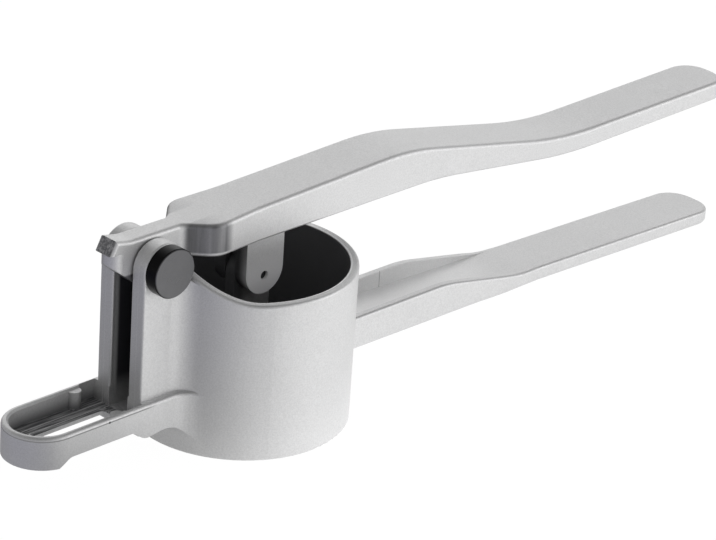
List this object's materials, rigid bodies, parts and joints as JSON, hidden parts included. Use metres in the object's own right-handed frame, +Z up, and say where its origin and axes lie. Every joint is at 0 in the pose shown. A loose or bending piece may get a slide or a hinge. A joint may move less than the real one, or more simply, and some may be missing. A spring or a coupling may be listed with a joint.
{
  "type": "spaetzle maker",
  "caption": "Cast hand press: a round pot with a drilled base, a long hinged lever that drives a plunger into it, a lower handle and a rest loop.",
  "frame": {"origin": "centre of the pot's base, on the plane that the press stands on", "axes": "+Z up along the pot's axis, +X from the pot towards the grips, +Y across the handles to the far side"},
  "size_m": [0.3836, 0.087, 0.0938],
  "materials": {
    "cast_alloy": "fine blasted casting",
    "sieve_steel": "rolled sheet",
    "pin_steel": "ground",
    "cap_steel": "dark turned satin"
  },
  "bodies": {
    "body": {"pot_body": "cast_alloy", "sieve_plate": "sieve_steel", "hinge_pin": "pin_steel", "hinge_cap": "cap_steel", "retaining_ring": "pin_steel"},
    "lever": {"press_lever": "cast_alloy", "plunger_pin": "pin_steel"},
    "plunger": {"plunger": "cast_alloy"}
  },
  "joints": [
    {"name": "lever_hinge", "type": "hinge", "parent": "body", "child": "lever", "pos_m": [-0.052, 0, 0.079], "axis": [0, -1, 0], "range_deg": [0, 70]},
    {"name": "plunger_pivot", "type": "hinge", "parent": "lever", "child": "plunger", "pos_m": [0.0018, 0, 0.06], "axis": [0, -1, 0], "range_deg": [-55, 0]}
  ],
  "couplings": [
    {"joint": "plunger_pivot", "follows": "lever_hinge", "ratio": -0.78}
  ]
}
